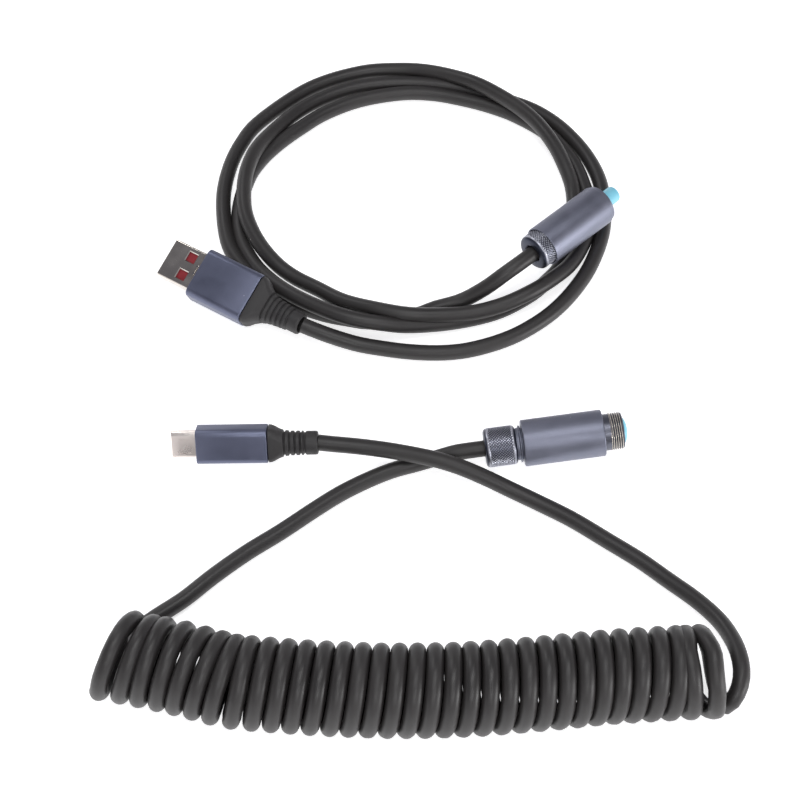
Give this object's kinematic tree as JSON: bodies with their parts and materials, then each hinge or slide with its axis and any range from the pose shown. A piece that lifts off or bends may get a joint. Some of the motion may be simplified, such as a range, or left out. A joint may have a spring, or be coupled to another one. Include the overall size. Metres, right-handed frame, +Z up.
{
  "type": "coiled keyboard cable with aviator couplings",
  "caption": "Detachable keyboard cable in two pieces: a looped host cable from USB-A to a sleeved aviator connector, and a curly device cable from a threaded aviator connector to USB-C.",
  "frame": {"origin": "on the table, under the middle of the box round the four connectors", "axes": "+Z up off the table, +X along the curly cord from its left end to its right end, +Y from the curly cord towards the loops"},
  "size_m": [0.173, 0.2317, 0.0239],
  "materials": {
    "slate_housing": "satin slate-blue anodised",
    "gunmetal_barrel": "fine blasted gunmetal anodised",
    "knurled_nut": "diamond knurled gunmetal",
    "nickel_plate": "bright nickel plate",
    "champagne_plate": "light champagne nickel",
    "gold_contact": "gold flash",
    "red_insulator": "moulded red",
    "cyan_cap": "semi-gloss soft plastic",
    "dark_moulding": "moulded",
    "circuit_board": "solder mask",
    "black_relief": "matte moulded",
    "black_cord": "satin extruded"
  },
  "bodies": {
    "host_cable": {"host_body": "gunmetal_barrel", "host_cord_clamp": "dark_moulding", "host_cord_connector_lead": "black_cord", "host_cord_loops": "black_cord", "host_cord_plug_lead": "black_cord", "host_pin_1": "gold_contact", "host_pin_2": "gold_contact", "host_pin_3": "gold_contact", "host_pin_4": "gold_contact", "host_pin_insert": "dark_moulding", "usb_a_board": "circuit_board", "usb_a_contact_1": "gold_contact", "usb_a_contact_2": "gold_contact", "usb_a_contact_3": "gold_contact", "usb_a_contact_4": "gold_contact", "usb_a_housing": "slate_housing", "usb_a_inner_block": "dark_moulding", "usb_a_shell": "nickel_plate", "usb_a_strain_relief": "black_relief", "usb_a_tongue": "red_insulator"},
    "host_washer": {"host_thrust_washer": "nickel_plate"},
    "host_nut": {"host_gland_nut": "knurled_nut"},
    "host_slip_ring": {"host_slip_ring": "nickel_plate"},
    "host_sleeve": {"host_sleeve": "gunmetal_barrel"},
    "host_cap": {"host_dust_cap": "cyan_cap"},
    "device_cable": {"device_barrel": "gunmetal_barrel", "device_cord_clamp": "dark_moulding", "device_cord_coil": "black_cord", "device_cord_connector_lead": "black_cord", "device_cord_plug_lead": "black_cord", "device_socket_1": "gold_contact", "device_socket_2": "gold_contact", "device_socket_3": "gold_contact", "device_socket_4": "gold_contact", "device_socket_insert": "dark_moulding", "device_thread_shell": "gunmetal_barrel", "usb_c_board": "circuit_board", "usb_c_housing": "slate_housing", "usb_c_inner_block": "dark_moulding", "usb_c_insulator": "dark_moulding", "usb_c_left_latch": "champagne_plate", "usb_c_lower_contacts": "gold_contact", "usb_c_right_latch": "champagne_plate", "usb_c_shell": "champagne_plate", "usb_c_strain_relief": "black_relief", "usb_c_upper_contacts": "gold_contact"},
    "device_washer": {"device_thrust_washer": "nickel_plate"},
    "device_nut": {"device_gland_nut": "knurled_nut"},
    "device_plug": {"device_dust_plug": "cyan_cap"}
  },
  "joints": [
    {"name": "device_cable_lift", "type": "slide", "parent": "host_cable", "child": "device_cable", "axis": [0, 0, 1], "range_m": [0, 0.05]},
    {"name": "host_washer_slide", "type": "slide", "parent": "host_cable", "child": "host_washer", "axis": [-0.7373, -0.6756, 0], "range_m": [0, 0.003]},
    {"name": "host_nut_turn", "type": "hinge", "parent": "host_washer", "child": "host_nut", "pos_m": [0.0446, 0.0252, 0.0125], "axis": [-0.7373, -0.6756, 0], "range_deg": [0, 1440]},
    {"name": "host_sleeve_slide", "type": "slide", "parent": "host_cable", "child": "host_slip_ring", "axis": [0.7373, 0.6756, 0], "range_m": [-0.003, 0.0008]},
    {"name": "host_sleeve_turn", "type": "hinge", "parent": "host_slip_ring", "child": "host_sleeve", "pos_m": [0.0446, 0.0252, 0.0125], "axis": [0.7373, 0.6756, 0], "continuous": true},
    {"name": "host_cap_pull", "type": "slide", "parent": "host_cable", "child": "host_cap", "axis": [0.7373, 0.6756, 0], "range_m": [0, 0.015]},
    {"name": "device_washer_slide", "type": "slide", "parent": "device_cable", "child": "device_washer", "axis": [-0.9912, -0.1112, -0.0715], "range_m": [0, 0.003]},
    {"name": "device_nut_turn", "type": "hinge", "parent": "device_washer", "child": "device_nut", "pos_m": [0.02666, -0.04044, 0.00559], "axis": [-0.9912, -0.1112, -0.0715], "range_deg": [0, 1440]},
    {"name": "device_plug_pull", "type": "slide", "parent": "device_cable", "child": "device_plug", "axis": [0.9912, 0.1112, 0.0715], "range_m": [0, 0.015]}
  ],
  "couplings": [
    {"joint": "host_nut_turn", "follows": "host_washer_slide", "rad_per_m": 8377.6},
    {"joint": "device_nut_turn", "follows": "device_washer_slide", "rad_per_m": 8377.6}
  ]
}
